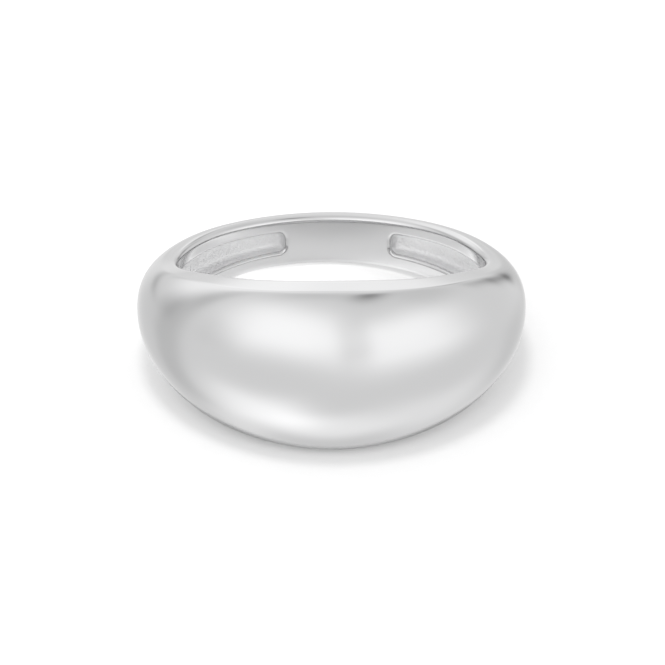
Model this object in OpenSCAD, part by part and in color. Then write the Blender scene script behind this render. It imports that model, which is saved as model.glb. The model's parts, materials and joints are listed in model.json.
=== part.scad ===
// Dome ring: a cast, polished finger ring in one piece.
// A wide dome at the front tapers to a narrow band at the back. Each side has a
// flat face between the finger hole and the shoulder of the dome, which runs out
// into a rounded edge at the back. The dome is hollow from inside: one pocket runs
// round the finger hole under the dome and ends in rounded ends either side of a
// plain land at the back.
// The ring lies on its side, as it rests on a table by itself: the dome faces -Y,
// the lower front and back edges touch z = 0, and +Z is up.
// Angles run round the finger hole from the middle of the dome, all in degrees.

/* [Ring] */
// Diameter of the finger hole, a ring of inside circumference 54 mm
bore_d = 17.2; // [15:0.1:21]
// Width of the ring at the front, between the edges of the finger hole
dome_w = 9.65; // [6:0.05:12]
// Width of the band at the back, between the edges of the finger hole
shank_w = 3.05; // [2.4:0.05:4]
// Thickness from the finger hole to the crown of the dome
dome_t = 3.45; // [2.8:0.05:4.5]
// Thickness of the band at the back
shank_t = 1.7; // [1.4:0.05:2.2]

/* [Side faces] */
// Depth of the side face at the front, outward from the finger hole
side_front = 1.7; // [1.2:0.05:2.2]
// Depth of the side face at the back, outward from the finger hole
side_back = 0.45; // [0.4:0.05:1.3]
// How far the side face falls between the finger hole and the shoulder
side_fall = 0.08; // [0:0.02:0.2]
// Radius of the rounding at the edge of the finger hole, at the front
edge_front = 0.3; // [0.15:0.05:0.4]
// Radius of the rounding at the edge of the finger hole, at the back
edge_back = 0.4; // [0.15:0.05:0.5]

/* [Hollow] */
// Thickness of metal between the hollow and the outside
wall = 1; // [0.8:0.05:1.3]
// Width of the rail beside the hollow at the front
rail_front = 1.1; // [0.7:0.05:1.4]
// Width of the rail beside the hollow near the back
rail_back = 0.85; // [0.6:0.05:1]
// Arc of the plain land between the two ends of the hollow
land_arc = 39.4; // [25:0.2:60]
// How far round the hollow is set from the middle of the dome
hollow_turn = -3; // [-5:0.5:5]
// Radius of the corners at the ends of the hollow
end_r = 0.4; // [0.2:0.05:0.5]

/* [Hidden] */

// Rows of the ring from the dome's middle to the middle of the back, evenly
// spaced. The shares run from the front size (1) to the back size (0).
WIDTH = 0;
THICKNESS = 1;
SIDE = 2;
ROWS = [
    // width, thickness, side face
    [1.000, 1.000, 1.000], // dome middle
    [0.880, 0.880, 0.900],
    [0.610, 0.675, 0.600],
    [0.236, 0.340, 0.300], // side of the ring
    [0.086, 0.170, 0.080],
    [0.022, 0.025, 0.015],
    [0.000, 0.000, 0.000], // back
];

// Powers of the rounded outline across the band: crown, then shoulder.
// A shoulder near 1 is tight, and 2 is fully round.
CROWN_POWER = 2.2;
SHOULDER_FRONT = 1.12;
SHOULDER_BACK = 2;

// Largest share of the side face that the rounding beside it takes
EDGE_LIMIT = 0.9;

ring_sections = 96;
dome_steps = 10;
hollow_sections = 60;
// Corner of the hollow between its side and its ceiling
hollow_corner = 0.35;
// How far each swept shape runs inside the finger hole before it is bored
outer_overrun = 0.6;
hollow_overrun = 1.5;

bore_r = bore_d / 2;
bore_l = 3 * dome_w;
grey = [0.80, 0.80, 0.81];

// Smooth curve through the shares of one column: a cosine series, so that it is
// even about the front and the back and bends without a break.
last_row = len(ROWS) - 1;
function end_half(i) = (i == 0 || i == last_row) ? 0.5 : 1;
function total(list, i = 0) = i == len(list) ? 0 : list[i] + total(list, i + 1);
function wave_size(column, k) = 2 / last_row * total([
    for (i = [0 : last_row]) end_half(i) * ROWS[i][column] * cos(180 * i * k / last_row)
]);
WAVES = [for (column = [WIDTH : SIDE]) [for (k = [0 : last_row]) wave_size(column, k)]];
function share(column, a) = total([
    for (k = [0 : last_row]) end_half(k) * WAVES[column][k] * cos(k * a)
]);
function between(back, front, part) = back + (front - back) * part;

// Sizes of the band at angle a from the middle of the dome
function half_width(a) = between(shank_w, dome_w, share(WIDTH, a)) / 2;
function thickness(a) = between(shank_t, dome_t, share(THICKNESS, a));
function side_depth(a) = between(side_back, side_front, share(SIDE, a));
function frontness(a) = (1 + cos(a)) / 2;
function shoulder_power(a) = between(SHOULDER_BACK, SHOULDER_FRONT, frontness(a));
function rail(a) = between(rail_back, rail_front, frontness(a));

// Radius of the finger hole's edge at angle a, which the side face limits
function edge_round(a) =
    min(between(edge_back, edge_front, frontness(a)), EDGE_LIMIT * side_depth(a));

// Half of the outer outline at angle a, as [radius, height]: the rounding at the
// finger hole's edge, then the side face, the shoulder and the crown
EDGE_ANGLES = [20, 45, 70, 90];
function hole_edge(a) =
    let (r = edge_round(a))
    [for (t = EDGE_ANGLES) [bore_r + r * (1 - cos(t)), half_width(a) - r * (1 - sin(t))]];
function shoulder_to_crown(a) = [
    for (i = [0 : dome_steps])
        let (t = 90 * i / dome_steps)
        [
            bore_r + side_depth(a)
                + (thickness(a) - side_depth(a)) * pow(sin(t), 2 / shoulder_power(a)),
            (half_width(a) - side_fall) * pow(cos(t), 2 / CROWN_POWER)
        ]
];
function half_outline(a) = concat(
    [[bore_r - outer_overrun, half_width(a) - outer_overrun]],
    hole_edge(a),
    shoulder_to_crown(a)
);

// Outer radius at height z, the rounded outline solved for the radius
function outer_radius(a, z) =
    let (across = min(1, abs(z) / (half_width(a) - side_fall)))
    bore_r + side_depth(a) + (thickness(a) - side_depth(a))
        * pow(1 - pow(across, CROWN_POWER), 1 / shoulder_power(a));

// Half of the hollow's outline at angle a and of half width w
function half_hollow(a, w) = [
    [bore_r - hollow_overrun, w],
    [outer_radius(a, w) - wall - hollow_corner, w],
    [outer_radius(a, w - hollow_corner) - wall, w - hollow_corner],
    [outer_radius(a, w / 2) - wall, w / 2],
    [outer_radius(a, 0) - wall, 0],
];

// A half outline and its mirror image, as one open loop
function both_halves(half) = concat(
    half,
    [for (i = [len(half) - 2 : -1 : 0]) [half[i][0], -half[i][1]]]
);
function around(p, a) = [p[0] * sin(a), -p[0] * cos(a), p[1]];

// The two triangles of the quad between points j and j + 1 of rings i and next
function quad(i, next, j, m) =
    let (k = (j + 1) % m)
    [[i * m + j, next * m + k, i * m + k], [i * m + j, next * m + j, next * m + k]];

// One end of a swept arc, as strips between each point and its mirror image
function end_strips(m) =
    let (crown = (m - 1) / 2)
    concat(
        [for (j = [0 : crown - 2]) [j, j + 1, m - 2 - j, m - 1 - j]],
        [[crown - 1, crown, crown + 1]]
    );
function turned(face) = [for (i = [len(face) - 1 : -1 : 0]) face[i]];

module swept_ring(outlines) {
    n = len(outlines);
    m = len(outlines[0]);
    polyhedron(
        points = [for (i = [0 : n - 1]) for (p = outlines[i]) around(p, 360 * i / n)],
        faces = [for (i = [0 : n - 1]) for (j = [0 : m - 1]) for (f = quad(i, (i + 1) % n, j, m)) f]
    );
}

module swept_arc(outlines, angles) {
    n = len(outlines);
    m = len(outlines[0]);
    polyhedron(
        points = [for (i = [0 : n - 1]) for (p = outlines[i]) around(p, angles[i])],
        faces = concat(
            [for (i = [0 : n - 2]) for (j = [0 : m - 1]) for (f = quad(i, i + 1, j, m)) f],
            end_strips(m),
            [for (f = end_strips(m)) turned([for (j = f) (n - 1) * m + j])]
        )
    );
}

// The hollow runs round the front. Near each end its sections crowd together and
// narrow, which rounds the corners.
hollow_reach = 180 - land_arc / 2;
end_arc = end_r / bore_r * 180 / PI;
END_SHARES = [0, 0.15, 0.4, 0.7, 1];
function narrowing(share_of_end) = end_r * (1 - sqrt(1 - pow(1 - share_of_end, 2)));
end_rows = [for (s = END_SHARES) [hollow_reach - s * end_arc, narrowing(s)]];
span = 2 * (hollow_reach - end_arc);
hollow_rows = concat(
    [for (row = end_rows) [-row[0], row[1]]],
    [for (i = [1 : hollow_sections - 1]) [span * (i / hollow_sections - 0.5), 0]],
    [for (i = [len(end_rows) - 1 : -1 : 0]) end_rows[i]]
);

module outer_form() {
    swept_ring([
        for (i = [0 : ring_sections - 1]) both_halves(half_outline(360 * i / ring_sections))
    ]);
}

module hollow_form() {
    swept_arc(
        [
            for (row = hollow_rows)
                let (a = row[0] + hollow_turn)
                both_halves(half_hollow(a, half_width(a) - rail(a) - row[1]))
        ],
        [for (row = hollow_rows) row[0] + hollow_turn]
    );
}

// The ring with its finger hole upright
module upright_hole_ring() {
    difference() {
        outer_form();
        cylinder(h = bore_l, r = bore_r, center = true, $fn = 180);
        hollow_form();
    }
}

// Resting lean: the front and back of the band touch the table together. The
// outline points on the middle line are leaned until both lowest heights agree.
front_line = [for (p = both_halves(half_outline(0))) if (p[0] > bore_r) [-p[0], p[1]]];
back_line = [for (p = both_halves(half_outline(180))) if (p[0] > bore_r) p];
function height(p, lean) = p[1] * cos(lean) - p[0] * sin(lean);
function reach_y(p, lean) = p[0] * cos(lean) + p[1] * sin(lean);
function lowest(line, lean) = min([for (p = line) height(p, lean)]);
function find_lean(low, high, steps) =
    let (mid = (low + high) / 2)
    steps == 0 ? mid
    : lowest(front_line, mid) < lowest(back_line, mid) ? find_lean(mid, high, steps - 1)
    : find_lean(low, mid, steps - 1);
lean = find_lean(0, 30, 40);
lift = -lowest(back_line, lean);
front_y = min([for (p = front_line) reach_y(p, lean)]);
back_y = max([for (p = back_line) reach_y(p, lean)]);

// The whole ring, resting on its side and centred on the origin
module dome_band() {
    color(grey)
        translate([0, -(front_y + back_y) / 2, lift])
            rotate([-lean, 0, 0])
                upright_hole_ring();
}

dome_band();
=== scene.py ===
"""Dome ring: the looks of a cast and polished ring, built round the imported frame.

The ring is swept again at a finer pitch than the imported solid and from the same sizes.
It gets rounded, burnished edges, mirror polish outside and in the finger hole, and a
matte cast skin inside the hollow.
"""
import json
import math

import bmesh
import bpy
import numpy as np
from mathutils import Matrix, Vector, noise


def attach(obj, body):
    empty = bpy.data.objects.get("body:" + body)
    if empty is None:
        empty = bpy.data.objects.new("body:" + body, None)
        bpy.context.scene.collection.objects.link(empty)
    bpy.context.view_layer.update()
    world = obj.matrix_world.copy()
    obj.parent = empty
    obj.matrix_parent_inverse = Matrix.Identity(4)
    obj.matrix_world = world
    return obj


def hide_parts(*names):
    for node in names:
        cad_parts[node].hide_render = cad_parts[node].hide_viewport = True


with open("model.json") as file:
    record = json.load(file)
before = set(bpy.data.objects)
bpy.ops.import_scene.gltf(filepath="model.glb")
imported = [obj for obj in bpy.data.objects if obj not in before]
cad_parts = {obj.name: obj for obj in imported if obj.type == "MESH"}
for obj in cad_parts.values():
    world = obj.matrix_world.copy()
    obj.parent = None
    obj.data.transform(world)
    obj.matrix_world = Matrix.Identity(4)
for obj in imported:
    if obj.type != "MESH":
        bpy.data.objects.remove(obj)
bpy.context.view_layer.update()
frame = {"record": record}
scene = bpy.context.scene


def add_object(name, data):
    """Adds an object that shows this mesh, lamp or camera."""
    made = bpy.data.objects.new(name, data)
    scene.collection.objects.link(made)
    return made


# Sizes of the ring, in millimetres and degrees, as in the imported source
MM = 0.001
BORE_R = 8.6
DOME_W, SHANK_W = 9.65, 3.05
DOME_T, SHANK_T = 3.45, 1.7
SIDE_FRONT, SIDE_BACK, SIDE_FALL = 1.7, 0.45, 0.08
EDGE_FRONT, EDGE_BACK, EDGE_LIMIT = 0.3, 0.4, 0.9
WALL = 1.0
RAIL_FRONT, RAIL_BACK = 1.1, 0.85
LAND_ARC, HOLLOW_TURN = 39.4, -3.0
CROWN_POWER, SHOULDER_FRONT, SHOULDER_BACK = 2.2, 1.12, 2.0

# How the sizes change every 30 degrees from the dome's middle to the middle of the back: 1 is
# the front's size and 0 is the back's
WIDTH = (1.000, 0.880, 0.610, 0.236, 0.086, 0.022, 0.000)
THICKNESS = (1.000, 0.880, 0.675, 0.340, 0.170, 0.025, 0.000)
SIDE = (1.000, 0.900, 0.600, 0.300, 0.080, 0.015, 0.000)

# Finish of the edges, in millimetres: how far the polishing wheel softens the outline at
# the finger hole and at the shoulder, and the stretch of the finger hole's wall that the
# outline begins and ends with
SOFT_EDGE, SOFT_SHOULDER = 0.05, 0.07
LEAD_IN = 0.2

# Finish of the hollow, in millimetres: the burnished rounding of its mouth, how far the foot
# of that rounding lies inside the mouth's outline, the draft of its walls, the rounding where
# they meet the floor, the round corners of its ends, and the ripple of its cast skin
BURNISH, BURNISH_INSIDE = 0.20, 0.10
DRAFT = 0.06
HOLLOW_CORNER = 0.33
END_R = 0.5
RIPPLE, RIPPLE_PITCH = 0.012, 0.45

# Pitch of the mesh
ARC_STEP = 1.0  # degrees between sections
OUTLINE_POINTS = 151
LEAD_STEPS, EDGE_STEPS, FACE_STEPS, CROWN_STEPS = 12, 10, 20, 130
CROWN_PACE = 1.5  # gathers the crown's points at the shoulder
BEND_PACE = 2.5  # millimetres of outline that one radian of bend counts as
CORNER_STEPS = 8
RAIL_ROWS, END_ROWS = 6, 12
BEVEL_ROWS, WALL_ROWS, FILLET_ROWS, FLOOR_ROWS = 5, 3, 6, 10
SAME_ARC = 9  # decimals to which two arcs count as the same


# The swept outline

def share(rows, angle):
    """Smooth curve through evenly spaced shares: a cosine series, even about front and back."""
    last = len(rows) - 1
    ends = np.ones(len(rows))
    ends[[0, last]] = 0.5
    k = np.arange(len(rows))
    waves = 2 / last * (np.cos(np.pi * np.outer(k, k) / last) @ (ends * np.array(rows)))
    return np.cos(np.radians(np.multiply.outer(angle, k))) @ (ends * waves)


def between(start, end, part):
    """Straight mix of two values: start where part is 0, and end where it is 1."""
    return start + (end - start) * part


def half_width(angle):
    return between(SHANK_W, DOME_W, share(WIDTH, angle)) / 2


def thickness(angle):
    return between(SHANK_T, DOME_T, share(THICKNESS, angle))


def side_depth(angle):
    return between(SIDE_BACK, SIDE_FRONT, share(SIDE, angle))


def frontness(angle):
    """1 at the dome's middle and 0 at the middle of the back."""
    return (1 + np.cos(np.radians(angle))) / 2


def shoulder_power(angle):
    return between(SHOULDER_BACK, SHOULDER_FRONT, frontness(angle))


def hollow_half_width(angle):
    return half_width(angle) - between(RAIL_BACK, RAIL_FRONT, frontness(angle))


def hollow_depth(angle, height):
    """Depth of the hollow's floor below the wall of the finger hole."""
    across = np.minimum(1, np.abs(height) / (half_width(angle) - SIDE_FALL))
    bulge = (1 - across ** CROWN_POWER) ** (1 / shoulder_power(angle))
    return side_depth(angle) + (thickness(angle) - side_depth(angle)) * bulge - WALL


def edge_round(angle):
    """Radius of the finger hole's edge, which the side face limits."""
    return min(between(EDGE_BACK, EDGE_FRONT, frontness(angle)), EDGE_LIMIT * side_depth(angle))


def sharp_outline(angle):
    """Outline at one angle from the finger hole's upper edge round to its lower edge."""
    width, side, radius = half_width(angle), side_depth(angle), edge_round(angle)
    lead = np.linspace(LEAD_IN, 0, LEAD_STEPS, endpoint=False)
    lead = np.stack([np.full(LEAD_STEPS, BORE_R), width - radius - lead], 1)
    turn = np.radians(np.linspace(0, 90, EDGE_STEPS, endpoint=False))
    edge = np.stack([BORE_R + radius * (1 - np.cos(turn)), width - radius * (1 - np.sin(turn))], 1)
    part = np.linspace(0, 1, FACE_STEPS, endpoint=False)
    face = np.stack([BORE_R + between(radius, side, part), width - SIDE_FALL * part], 1)
    turn = np.radians(90 * np.linspace(0, 1, CROWN_STEPS + 1) ** CROWN_PACE)
    rise = (thickness(angle) - side) * np.sin(turn) ** (2 / shoulder_power(angle))
    fall = (width - SIDE_FALL) * np.cos(turn).clip(0) ** (2 / CROWN_POWER)
    crown = np.stack([BORE_R + side + rise, fall], 1)
    half = np.concatenate([lead, edge, face, crown])
    softness = np.concatenate([
        np.full(LEAD_STEPS + EDGE_STEPS, SOFT_EDGE),
        between(SOFT_EDGE, SOFT_SHOULDER, part),
        np.full(CROWN_STEPS + 1, SOFT_SHOULDER),
    ])
    mirrored = half[-2::-1] * (1, -1)
    return np.concatenate([half, mirrored]), np.concatenate([softness, softness[-2::-1]])


def polished_outline(angle):
    """The outline with its corners worn round, and its points gathered where it bends."""
    points, softness = sharp_outline(angle)
    steps = np.linalg.norm(np.diff(points, axis=0), axis=1)
    along = np.concatenate([[0], np.cumsum(steps)])
    weight = np.exp(-0.5 * ((along[:, None] - along[None, :]) / softness[:, None]) ** 2)
    weight *= np.gradient(along)
    points = weight @ points / weight.sum(1)[:, None]
    step = np.diff(points, axis=0)
    heading = np.unwrap(np.arctan2(step[:, 1], step[:, 0]))
    bend = np.abs(np.gradient(heading))
    pace = np.concatenate([[0], np.cumsum(np.linalg.norm(step, axis=1) + BEND_PACE * bend)])
    at = np.linspace(0, pace[-1], OUTLINE_POINTS)
    return np.stack([np.interp(at, pace, points[:, 0]), np.interp(at, pace, points[:, 1])], 1)


# The hollow's outline on the unrolled wall of the finger hole, as arc and height

hollow_reach = BORE_R * math.radians(180 - LAND_ARC / 2)
corner_centre = hollow_reach - END_R


def turn_of(arc):
    """Angle round the ring, from the dome's middle, of an arc measured from the hollow's middle."""
    return np.degrees(arc / BORE_R) + HOLLOW_TURN


straight = int(round(2 * math.degrees(corner_centre / BORE_R) / ARC_STEP))
corner = np.radians(np.linspace(0, 90, CORNER_STEPS + 1)[1:])
base_arc = np.concatenate([
    np.full(CORNER_STEPS, -corner_centre),
    np.linspace(-corner_centre, corner_centre, straight + 1),
    np.full(CORNER_STEPS, corner_centre),
])
lean_out = np.concatenate([-np.sin(corner[::-1]), np.zeros(straight + 1), np.sin(corner)])
lean_up = np.concatenate([np.cos(corner[::-1]), np.ones(straight + 1), np.cos(corner)])
lean_up = lean_up.round(12)  # so that it is 0 and not nearly 0 after a quarter turn
base_height = hollow_half_width(turn_of(base_arc + END_R * lean_out)) - END_R
columns = len(base_arc)


def end_points(side):
    """Inner points of the hollow's straight end, from its upper corner to its lower one."""
    top = base_height[-1 if side > 0 else 0]
    heights = top * np.linspace(1, -1, END_ROWS + 1)[1:-1]
    return np.stack([np.full(END_ROWS - 1, side * corner_centre), heights], 1)


upper = np.stack([base_arc, base_height], 1)
right_end = end_points(1)
left_end = end_points(-1)[::-1]
lower = (upper * (1, -1))[::-1]
bases = np.concatenate([upper, right_end, lower, left_end])
outward = np.concatenate([
    np.stack([lean_out, lean_up], 1),
    np.tile([1.0, 0.0], (END_ROWS - 1, 1)),
    np.stack([lean_out, -lean_up], 1)[::-1],
    np.tile([-1.0, 0.0], (END_ROWS - 1, 1)),
])
loop_size = len(bases)


def loop_at(offset):
    """The hollow's outline moved outward by offset."""
    return bases + (END_R + offset) * outward


# The loops go from the burnished edge down the wall to the floor's middle. Each has the places
# of its points, their depths, and its share of cast skin.
loops = []
for turn in np.radians(np.linspace(0, 90, BEVEL_ROWS + 1)):
    place = loop_at(BURNISH * (1 - math.sin(turn)) - BURNISH_INSIDE)
    loops.append((place, np.full(loop_size, BURNISH * (1 - math.cos(turn))), 0.0))
foot_offset = -BURNISH_INSIDE - DRAFT
foot = loop_at(foot_offset)
inner = loop_at(foot_offset - HOLLOW_CORNER)
wall_foot = hollow_depth(turn_of(foot[:, 0]), foot[:, 1]) - HOLLOW_CORNER
floor_rim = hollow_depth(turn_of(inner[:, 0]), inner[:, 1])
for part in np.linspace(0, 1, WALL_ROWS + 1)[1:]:
    place = loop_at(between(-BURNISH_INSIDE, foot_offset, part))
    loops.append((place, between(BURNISH, wall_foot, part), 1.0))
for turn in np.radians(np.linspace(0, 90, FILLET_ROWS + 1))[1:]:
    place = loop_at(foot_offset - HOLLOW_CORNER * (1 - math.cos(turn)))
    loops.append((place, between(wall_foot, floor_rim, math.sin(turn)), 1.0))
end_turn = turn_of(np.array([-hollow_reach, hollow_reach]))
spine = hollow_reach - hollow_half_width(end_turn).mean()  # half the floor's middle line
target = np.stack([np.clip(bases[:, 0], -spine, spine), np.zeros(loop_size)], 1)
for part in np.linspace(0, 1, FLOOR_ROWS + 1)[1:-1]:
    place = between(inner, target, part)
    loops.append((place, hollow_depth(turn_of(place[:, 0]), place[:, 1]), 1.0))

# The sections: those of the hollow's columns, then those of the plain land at the back
mouth = loops[0][0]
column_turn = turn_of(mouth[:columns, 0])
land_steps = int(round(LAND_ARC / ARC_STEP))
land_turn = np.linspace(column_turn[-1], column_turn[0] + 360, land_steps + 1)[1:-1]
section_turn = np.concatenate([column_turn, land_turn])
# Radius and height of each point of each section's outline
outer = np.array([polished_outline(turn) for turn in section_turn])


# The mesh

vertices, cast_share = [], []


def add(turn, radius, height, cast=0.0):
    """Adds points given round the ring and returns their numbers."""
    turn, radius, height = np.broadcast_arrays(np.radians(turn), radius, height)
    first = len(vertices)
    points = np.stack([radius * np.sin(turn), -radius * np.cos(turn), height], -1).reshape(-1, 3)
    vertices.extend(points)
    cast_share.extend([cast] * len(points))
    return np.arange(first, first + len(points)).reshape(turn.shape)


faces = []


def strip(a, b, closed=False):
    """Quads between two rows of point numbers. Repeated points make triangles."""
    for i in range(len(a) if closed else len(a) - 1):
        k = (i + 1) % len(a)
        corners = [a[i], a[k], b[k], b[i]]
        face = [p for n, p in enumerate(corners) if p != corners[n - 1]]
        if len(face) > 2:
            faces.append(face)


skin = add(section_turn[:, None], outer[:, :, 0], outer[:, :, 1])
for j in range(OUTLINE_POINTS - 1):
    strip(skin[:, j], skin[:, j + 1], closed=True)

loop_numbers = [
    add(turn_of(place[:, 0]), BORE_R + depth, place[:, 1], cast) for place, depth, cast in loops
]
for a, b in zip(loop_numbers, loop_numbers[1:]):
    strip(a, b, closed=True)

# The floor's middle line, which the innermost loop closes on
target_arc = target[:, 0].round(SAME_ARC)
crest_arc = np.unique(target_arc)
crest = add(turn_of(crest_arc), BORE_R + hollow_depth(turn_of(crest_arc), 0), 0.0, 1.0)
strip(loop_numbers[-1], crest[np.searchsorted(crest_arc, target_arc)], closed=True)

# The rails either side of the hollow
side_starts = np.cumsum([columns, END_ROWS - 1, columns])
upper_rim, right_rim, lower_rim, left_rim = np.split(loop_numbers[0], side_starts)
rim_height = mouth[:columns, 1]


def rail(edge_numbers, rim_numbers, edge_height, sign):
    """Rows of point numbers from the outline's edge to the hollow's edge."""
    rows = [edge_numbers]
    for part in np.linspace(0, 1, RAIL_ROWS + 1)[1:-1]:
        rows.append(add(column_turn, BORE_R, between(edge_height, sign * rim_height, part)))
    rows.append(rim_numbers)
    return np.array(rows)


upper_rail = rail(skin[:columns, 0], upper_rim, outer[:columns, 0, 1], 1)
lower_rail = rail(skin[:columns, -1], lower_rim[::-1], outer[:columns, -1, 1], -1)
for rows in (upper_rail, lower_rail):
    for a, b in zip(rows, rows[1:]):
        strip(a, b)

# The land: columns of the same rows as the hollow's ends, from the right end to the left. Their
# heights go over from the right end's shares of the edge's height to the left end's.
right_rows = np.concatenate([upper_rail[:, -1], right_rim, lower_rail[::-1, -1]])
left_rows = np.concatenate([upper_rail[:, 0], left_rim[::-1], lower_rail[::-1, 0]])
heights = np.array(vertices)[:, 2]
right_share = heights[right_rows] / outer[columns - 1, 0, 1]
left_share = heights[left_rows] / outer[0, 0, 1]
land = [right_rows]
for i, turn in enumerate(land_turn):
    section = columns + i
    part = (i + 1) / land_steps
    row_share = between(right_share, left_share, part)[1:-1]
    middle = add(turn, BORE_R, row_share * outer[section, 0, 1])
    land.append(np.concatenate([[skin[section, 0]], middle, [skin[section, -1]]]))
land.append(left_rows)
for a, b in zip(land, land[1:]):
    strip(a, b)

# Slight ripple of the cast skin, moved along the radius
points = np.array(vertices)
cast_share = np.array(cast_share)
for i in np.flatnonzero(cast_share):
    x, y, z = points[i]
    swell = RIPPLE * noise.noise(Vector((x, y, z)) / RIPPLE_PITCH)
    points[i, :2] *= 1 + swell / math.hypot(x, y)

# The finger hole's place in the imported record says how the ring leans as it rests
hole = next(m for m in frame["record"]["mounts"] if m["name"] == "finger_hole")
lean = math.atan2(hole["axis"][1], hole["axis"][2])
placed = points * MM @ np.array(Matrix.Rotation(-lean, 3, "X")).T + np.array(hole["pos_m"])

mesh = bpy.data.meshes.new("dome_ring_polished")
mesh.from_pydata(placed.tolist(), [], [[int(p) for p in face] for face in faces])
attribute = mesh.attributes.new("cast_skin", "FLOAT", "POINT")
attribute.data.foreach_set("value", cast_share.astype(np.float32))
work = bmesh.new()
work.from_mesh(mesh)
bmesh.ops.recalc_face_normals(work, faces=work.faces)
work.to_mesh(mesh)
work.free()
mesh.polygons.foreach_set("use_smooth", np.ones(len(mesh.polygons), bool))
ring = add_object("dome_ring_polished", mesh)
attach(ring, "root")
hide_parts("dome_band")


# Materials

def node(tree, kind, settings=None, **inputs):
    """Adds a node, sets its options, and sets or links its inputs.

    An input is named with _ for each space, or numbered as in _0.
    """
    made = tree.nodes.new(kind)
    for key, value in (settings or {}).items():
        setattr(made, key, value)
    for key, value in inputs.items():
        socket = made.inputs[int(key[1:])] if key[0] == "_" else made.inputs[key.replace("_", " ")]
        if isinstance(value, bpy.types.NodeSocket):
            tree.links.new(value, socket)
        else:
            socket.default_value = value
    return made


def maths(tree, operation, a, b=0.0, c=0.0):
    return node(tree, "ShaderNodeMath", {"operation": operation}, _0=a, _1=b, _2=c).outputs[0]


def blend(tree, factor, a, b):
    """a at factor 0 and b at factor 1, as a number."""
    made = node(tree, "ShaderNodeMix", {"data_type": "FLOAT"}, _0=factor, _2=a, _3=b)
    return made.outputs[0]


def blend_color(tree, factor, a, b):
    """a at factor 0 and b at factor 1, as a colour."""
    made = node(tree, "ShaderNodeMix", {"data_type": "RGBA"}, _0=factor, _6=a, _7=b)
    return made.outputs[2]


def varied(tree, marks, middle, spread):
    """A number about the middle one, which marks from 0 to 1 spread evenly to both sides."""
    return maths(tree, "MULTIPLY_ADD", marks, spread, middle - spread / 2)


def speckle(tree, where, pitch, detail, roughness=0.5):
    """Noise from 0 to 1 with features about pitch metres across."""
    made = node(
        tree, "ShaderNodeTexNoise",
        Vector=where, Scale=1 / pitch, Detail=detail, Roughness=roughness,
    )
    return made.outputs[0]


def bump(tree, height, strength, relief, **inputs):
    """The direction a surface faces when height from 0 to 1 lifts it by up to relief metres."""
    made = node(
        tree, "ShaderNodeBump",
        Height=height, Strength=strength, Distance=relief, **inputs,
    )
    return made.outputs[0]


def lobe(tree, x, y, edge):
    """A patch that is 1 in its middle and fades out about where x or y is 1.

    It is round for an edge of 2, and squarer and more sharply bounded for a larger one.
    """
    x = maths(tree, "POWER", maths(tree, "ABSOLUTE", x), edge)
    y = maths(tree, "POWER", maths(tree, "ABSOLUTE", y), edge)
    return maths(tree, "POWER", math.e, maths(tree, "MULTIPLY", maths(tree, "ADD", x, y), -1.0))


def new_material(name):
    """A node material without nodes but for the one that gives the place on the object."""
    made = bpy.data.materials.new(name)
    made.use_nodes = True
    made.node_tree.nodes.clear()
    where = node(made.node_tree, "ShaderNodeTexCoord").outputs["Object"]
    return made, made.node_tree, where


# The silver. The polish has a faint haze, which varies its roughness, and very low waves.
# The cast skin has a fine grain, and its colour is much lighter than the polish's, which is
# painted light that brightens the hollow. Pitches and relief are in metres.
POLISH_COLOR = (0.660, 0.660, 0.664, 1)
POLISH_ROUGHNESS, HAZE = 0.13, 0.05
HAZE_PITCH, HAZE_DETAIL = 0.0016, 3.0
WAVE_PITCH, WAVE_DETAIL = 0.0011, 2.0
WAVE_STRENGTH, WAVE_RELIEF = 0.5, 0.000002
GRAIN_DARK_WITH_PAINTED_LIGHT, GRAIN_LIGHT_WITH_PAINTED_LIGHT = (0.860, 0.860, 0.864, 1), (0.996, 0.996, 1.000, 1)
CAST_ROUGHNESS, CAST_VARIATION = 0.44, 0.16
GRAIN_PITCH, GRAIN_DETAIL, GRAIN_HARSHNESS = 0.00013, 4.0, 0.6
GRAIN_STRENGTH, GRAIN_RELIEF = 0.8, 0.00008

silver, tree, where = new_material("polished_silver")
cast = node(tree, "ShaderNodeAttribute", {"attribute_name": "cast_skin"}).outputs["Fac"]
haze = speckle(tree, where, HAZE_PITCH, HAZE_DETAIL)
waves = speckle(tree, where, WAVE_PITCH, WAVE_DETAIL)
grain = speckle(tree, where, GRAIN_PITCH, GRAIN_DETAIL, GRAIN_HARSHNESS)

# painted light: the cast skin's grain colours are set far lighter than the polish, which brightens
# the hollow; the grain itself is the skin's own
cast_grain_and_painted_light = blend_color(tree, grain, GRAIN_DARK_WITH_PAINTED_LIGHT, GRAIN_LIGHT_WITH_PAINTED_LIGHT)
polish_roughness = varied(tree, haze, POLISH_ROUGHNESS, HAZE)
cast_roughness = varied(tree, grain, CAST_ROUGHNESS, CAST_VARIATION)
grain_strength = maths(tree, "MULTIPLY", cast, GRAIN_STRENGTH)
grain_bump = bump(tree, grain, grain_strength, GRAIN_RELIEF)

shader = node(
    tree, "ShaderNodeBsdfPrincipled",
    Base_Color=blend_color(tree, cast, POLISH_COLOR, cast_grain_and_painted_light),
    Metallic=1.0,
    Roughness=blend(tree, cast, polish_roughness, cast_roughness),
    Normal=bump(tree, waves, WAVE_STRENGTH, WAVE_RELIEF, Normal=grain_bump),
)
node(tree, "ShaderNodeOutputMaterial", Surface=shader.outputs[0])
mesh.materials.append(silver)


# The floor: a plain white light table, lit from above and a little from below. The polish
# mirrors the studio and not the table, apart from a card under the ring that only the polish
# sees: its glow is painted light and shade, which stands for the table's own under the ring.
# Places, reaches and heights are in metres.

FLOOR_HALF = 0.6
FIBRE_PITCH, FIBRE_DETAIL = 0.0009, 3.0
TABLE_DARK, TABLE_LIGHT = (0.69, 0.69, 0.69, 1), (0.71, 0.71, 0.71, 1)
TABLE_GLOW = 0.22
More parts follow.
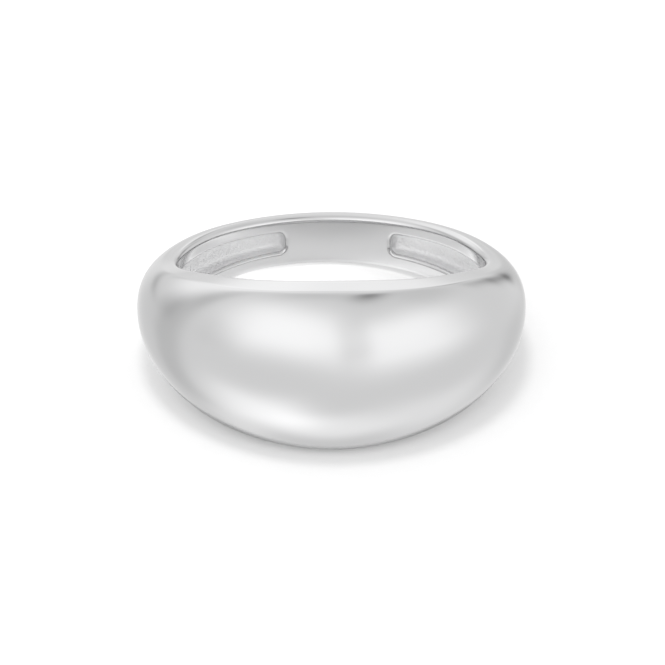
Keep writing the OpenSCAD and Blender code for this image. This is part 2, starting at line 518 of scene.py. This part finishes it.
# Painted pool of light in the finger hole, where the open table glows more: place, reach and
# strength
HOLE_LIGHT_POOL = ((-0.0048, 0.0070), 0.0058, 0.42)
# The card under the ring, which only the polish sees: between which distances from the origin
# it fades out, and how far it lies above the open table, so that the two don't coincide
NEAR_IN, NEAR_OUT, NEAR_HEIGHT = 0.00995, 0.01045, 0.00001
NEAR_CORNERS = 48
# Its glow, painted shade and light for the polish to mirror, rises from front to back, and again
# under the ring's rim
NEAR_FRONT_Y, NEAR_BACK_Y = -0.0012, 0.0042
NEAR_FRONT_GLOW, NEAR_BACK_GLOW = 0.02, 0.19
NEAR_RIM_IN, NEAR_RIM_OUT, NEAR_RIM_GAIN = 0.0086, 0.0094, 2.6
# Its two brighter spots of painted light at the back, right and left
NEAR_RIGHT_SPOT = ((0.0036, 0.0074), 0.0023, 0.36)
NEAR_LEFT_SPOT = ((-0.0046, 0.0080), 0.0018, 0.26)


def ramp(tree, value, start, end, low, high):
    """Smooth step from low, where value is start, to high, where it is end."""
    made = node(
        tree, "ShaderNodeMapRange", {"interpolation_type": "SMOOTHSTEP"},
        Value=value, From_Min=start, From_Max=end, To_Min=low, To_Max=high,
    )
    return made.outputs[0]


def spot(tree, x, y, place, reach, strength):
    """Round glow that is strength at its place and fades out round it."""
    across = maths(tree, "DIVIDE", maths(tree, "SUBTRACT", x, place[0]), reach)
    along = maths(tree, "DIVIDE", maths(tree, "SUBTRACT", y, place[1]), reach)
    return maths(tree, "MULTIPLY", lobe(tree, across, along, 2.0), strength)


def table_material(name, near):
    """Matte white that glows a little: the open table, with a painted pool of light in the finger
    hole, or the card under the ring, whose glow is painted light and shade for the polish to
    mirror.
    """
    paper, tree, where = new_material(name)
    x, y = node(tree, "ShaderNodeSeparateXYZ", Vector=where).outputs[:2]
    fibre = speckle(tree, where, FIBRE_PITCH, FIBRE_DETAIL)
    shade = blend_color(tree, fibre, TABLE_DARK, TABLE_LIGHT)
    lit = node(tree, "ShaderNodeBsdfDiffuse", Color=shade)
    if near:
        length = node(tree, "ShaderNodeVectorMath", {"operation": "LENGTH"}, _0=where)
        away = length.outputs["Value"]
        # painted shade and light: the card's glow is dim at the front, where the dome shades the
        # table, and rises to the back, under the rim and in two spots
        rise = ramp(tree, y, NEAR_FRONT_Y, NEAR_BACK_Y, NEAR_FRONT_GLOW, NEAR_BACK_GLOW)
        gain = ramp(tree, away, NEAR_RIM_IN, NEAR_RIM_OUT, 1.0, NEAR_RIM_GAIN)
        base = maths(tree, "MULTIPLY", rise, gain)
        right_spot = spot(tree, x, y, *NEAR_RIGHT_SPOT)
        extra = maths(tree, "ADD", right_spot, spot(tree, x, y, *NEAR_LEFT_SPOT))
    else:
        base = TABLE_GLOW
        # painted pool of light on the table in the finger hole
        extra = spot(tree, x, y, *HOLE_LIGHT_POOL)
    shining = node(tree, "ShaderNodeEmission", Strength=maths(tree, "ADD", extra, base))
    shader = node(tree, "ShaderNodeAddShader", _0=lit.outputs[0], _1=shining.outputs[0])
    if near:
        cover = ramp(tree, away, NEAR_IN, NEAR_OUT, 1.0, 0.0)
        clear = node(tree, "ShaderNodeBsdfTransparent")
        shader = node(
            tree, "ShaderNodeMixShader",
            _0=cover, _1=clear.outputs[0], _2=shader.outputs[0],
        )
    node(tree, "ShaderNodeOutputMaterial", Surface=shader.outputs[0])
    return paper


def table(name, material, corners, height=0.0):
    """A flat piece of the table, or the card under the ring, neither of which is part of the ring.
    """
    flat = bpy.data.meshes.new(name)
    flat.from_pydata([(x, y, height) for x, y in corners], [], [range(len(corners))])
    flat.materials.append(material)
    made = add_object(name, flat)
    return made


floor = table("floor", table_material("white_table", near=False), [
    (x * FLOOR_HALF, y * FLOOR_HALF) for x, y in ((-1, -1), (1, -1), (1, 1), (-1, 1))
])
floor.visible_glossy = False
# The card under the ring, which only the polish sees; its glow is painted light and shade of the
# table there
painted_glow_card = table("reflection_glow_card", table_material("painted_reflection_glow", near=True), [
    (NEAR_OUT * math.cos(a), NEAR_OUT * math.sin(a))
    for a in np.linspace(0, 2 * math.pi, NEAR_CORNERS, endpoint=False)
], NEAR_HEIGHT)
painted_glow_card.visible_camera = False
painted_glow_card.visible_diffuse = False
painted_glow_card.visible_shadow = False


# Light: a pale studio all round, with soft panels above, low cards near the table, and darker
# gaps between them, all of which show in the polish

def bearing(azimuth, elevation):
    """Unit vector towards azimuth, 0 in front of the dome and 90 to its right, and elevation."""
    a, e = math.radians(azimuth), math.radians(elevation)
    return Vector((math.sin(a) * math.cos(e), -math.cos(a) * math.cos(e), math.sin(e)))


ROOM = 0.91
# Panels brighter than the room, and darker ones where strength is below 0
PANELS = [
    # azimuth, elevation, half width and half height in degrees, strength, edge
    (-34, 29, 39, 25, 0.50, 3),
    (46, 18, 42, 21, 0.45, 3),
    (15, 20, 11, 21, -0.24, 3),
    (-72, 8, 14, 13, -0.10, 3),
    (-142, 31, 27, 23, 0.34, 4),
    (-178, 15, 15, 9, 0.35, 4),
    (170, 38, 9, 12, 0.12, 3),
    (-162, 9, 8, 9, -0.14, 3),
    (-158, 66, 28, 14, 0.13, 3),
    (-46, -45, 25, 17, 0.40, 3),
    (-8, -59, 27, 16, 0.28, 3),
    (-95, -62, 14, 10, 0.15, 3),
    (70, -52, 25, 16, 0.17, 3),
    (48, -4, 36, 10, 0.12, 3),
    (-108, -8, 14, 38, -0.20, 3),
    (-125, -46, 22, 14, -0.10, 3),
    (166, -16, 9, 12, -0.20, 3),
    (-120, 4, 12, 12, -0.14, 3),
    (100, 43, 22, 14, -0.11, 3),
    (-104, 33, 7, 16, -0.15, 3),
    (61, 65, 12, 7, -0.52, 2),
    (-156, -9, 17, 3, -0.27, 2),
    (140, -34, 22, 14, -0.13, 3),
    (-10, 74, 28, 8, -0.10, 3),
    (0, -89, 18, 16, -0.08, 3),
    (-140, -18, 22, 16, -0.10, 3),
]
# Small dark gaps behind the ring, which make the thin lines at the right end of the shoulder
# and along the back's rim
GAPS = [
    # azimuth, elevation, reach in degrees, strength
    (156.5, -10, 5.0, -0.62),
    (152, -3, 4.5, -0.35),
    (147, 4, 6.0, -0.50),
    (141, 12, 5.0, -0.25),
    (135, 19, 6.5, -0.20),
    (155, 25, 6.0, -0.42),
]

world = bpy.data.worlds.new("studio")
scene.world = world
world.use_nodes = True
world.cycles.sampling_method = "NONE"  # a studio this smooth needs no importance map
tree = world.node_tree
tree.nodes.clear()
direction = node(tree, "ShaderNodeTexCoord").outputs["Generated"]


def dot(vector):
    """Cosine of the angle between the room's direction and a unit vector."""
    made = node(
        tree, "ShaderNodeVectorMath", {"operation": "DOT_PRODUCT"},
        _0=direction, _1=tuple(vector),
    )
    return made.outputs["Value"]


radiance = ROOM
for azimuth, elevation, half_across, half_high, strength, edge in PANELS:
    towards = bearing(azimuth, elevation)
    across = bearing(azimuth + 90, 0)
    up = towards.cross(across)
    sideways = maths(tree, "ARCTAN2", dot(across), dot(towards))
    x = maths(tree, "DIVIDE", sideways, math.radians(half_across))
    y = maths(tree, "DIVIDE", maths(tree, "ARCSINE", dot(up)), math.radians(half_high))
    radiance = maths(tree, "MULTIPLY_ADD", lobe(tree, x, y, edge), strength, radiance)
for azimuth, elevation, reach, strength in GAPS:
    facing = maths(tree, "MAXIMUM", dot(bearing(azimuth, elevation)), 0.0)
    round_lobe = maths(tree, "POWER", facing, 2 / math.radians(reach) ** 2)
    radiance = maths(tree, "MULTIPLY_ADD", round_lobe, strength, radiance)
background = node(tree, "ShaderNodeBackground", Color=(1, 1, 1, 1), Strength=radiance)
node(tree, "ShaderNodeOutputWorld", Surface=background.outputs[0])


# The lamp overhead, in degrees, metres and watts. It only lights matte surfaces, so it doesn't
# show in the polish.
LAMP_AZIMUTH, LAMP_ELEVATION = -90, 86
LAMP_DISTANCE, LAMP_SIZE, LAMP_POWER = 0.8, 0.20, 1.6

lamp_data = bpy.data.lights.new("overhead_fill", "AREA")
lamp_data.shape = "DISK"
lamp_data.size = LAMP_SIZE
lamp_data.energy = LAMP_POWER
lamp = add_object("overhead_fill", lamp_data)
lamp_bearing = bearing(LAMP_AZIMUTH, LAMP_ELEVATION)
lamp.location = lamp_bearing * LAMP_DISTANCE
lamp.rotation_euler = lamp_bearing.to_track_quat("Z", "Y").to_euler()
lamp.visible_glossy = False


# Camera: the photograph's view, from above the front. Lengths in metres, but the sensor's,
# which is in millimetres.

CAMERA_AZIMUTH, CAMERA_ELEVATION = -0.4, 33.81
CAMERA_DISTANCE = 0.400
FRAME_WIDTH = 0.03755  # what the picture's width spans at the ring
SENSOR_WIDTH = 36
AIM_RIGHT, AIM_DOWN = 0.00007, 0.001935  # from the finger hole's centre to the middle of the view

camera_data = bpy.data.cameras.new("camera")
camera_data.sensor_width = SENSOR_WIDTH
camera_data.lens = SENSOR_WIDTH * CAMERA_DISTANCE / FRAME_WIDTH
camera = add_object("camera", camera_data)
back = bearing(CAMERA_AZIMUTH, CAMERA_ELEVATION)
right = bearing(CAMERA_AZIMUTH + 90, 0)
view_up = back.cross(right)
aim = Vector(hole["pos_m"]) + right * AIM_RIGHT - view_up * AIM_DOWN
camera.location = aim + back * CAMERA_DISTANCE
camera.rotation_euler = back.to_track_quat("Z", "Y").to_euler()
scene.camera = camera

scene.view_settings.view_transform = "Standard"
